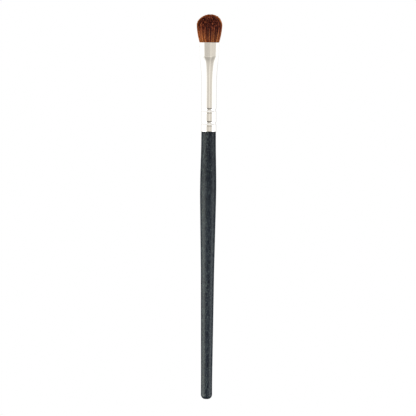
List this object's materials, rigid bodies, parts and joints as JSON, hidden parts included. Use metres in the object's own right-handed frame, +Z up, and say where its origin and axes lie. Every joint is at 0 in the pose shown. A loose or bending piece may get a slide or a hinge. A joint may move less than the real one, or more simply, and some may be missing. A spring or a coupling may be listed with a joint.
{
  "type": "eyeshadow brush",
  "caption": "Slim eyeshadow brush with a turned, lacquered wooden handle, a bright crimped ferrule pressed flat at the mouth, and a flat domed tuft of brown hair.",
  "frame": {"origin": "On the brush's axis, in the middle of the straight end of the handle, where a stand's socket holds it.", "axes": "+Z runs up the brush to the hair, +X runs across the wide face of the tuft, and the wide face looks along -Y."},
  "size_m": [0.0116, 0.0074, 0.175],
  "materials": {
    "lacquered_wood": "satin charcoal lacquer with fine flecks over wood",
    "plated_metal": "polished bright plating",
    "brown_hair": "soft brown hair, lighter at the edges",
    "cotton_thread": "twisted thread",
    "set_adhesive": "clear amber resin"
  },
  "bodies": {
    "root": {"handle": "lacquered_wood", "handle_glue": "set_adhesive", "ferrule": "plated_metal", "root_glue": "set_adhesive", "tie_thread": "cotton_thread", "hair_tuft": "brown_hair"}
  },
  "joints": []
}
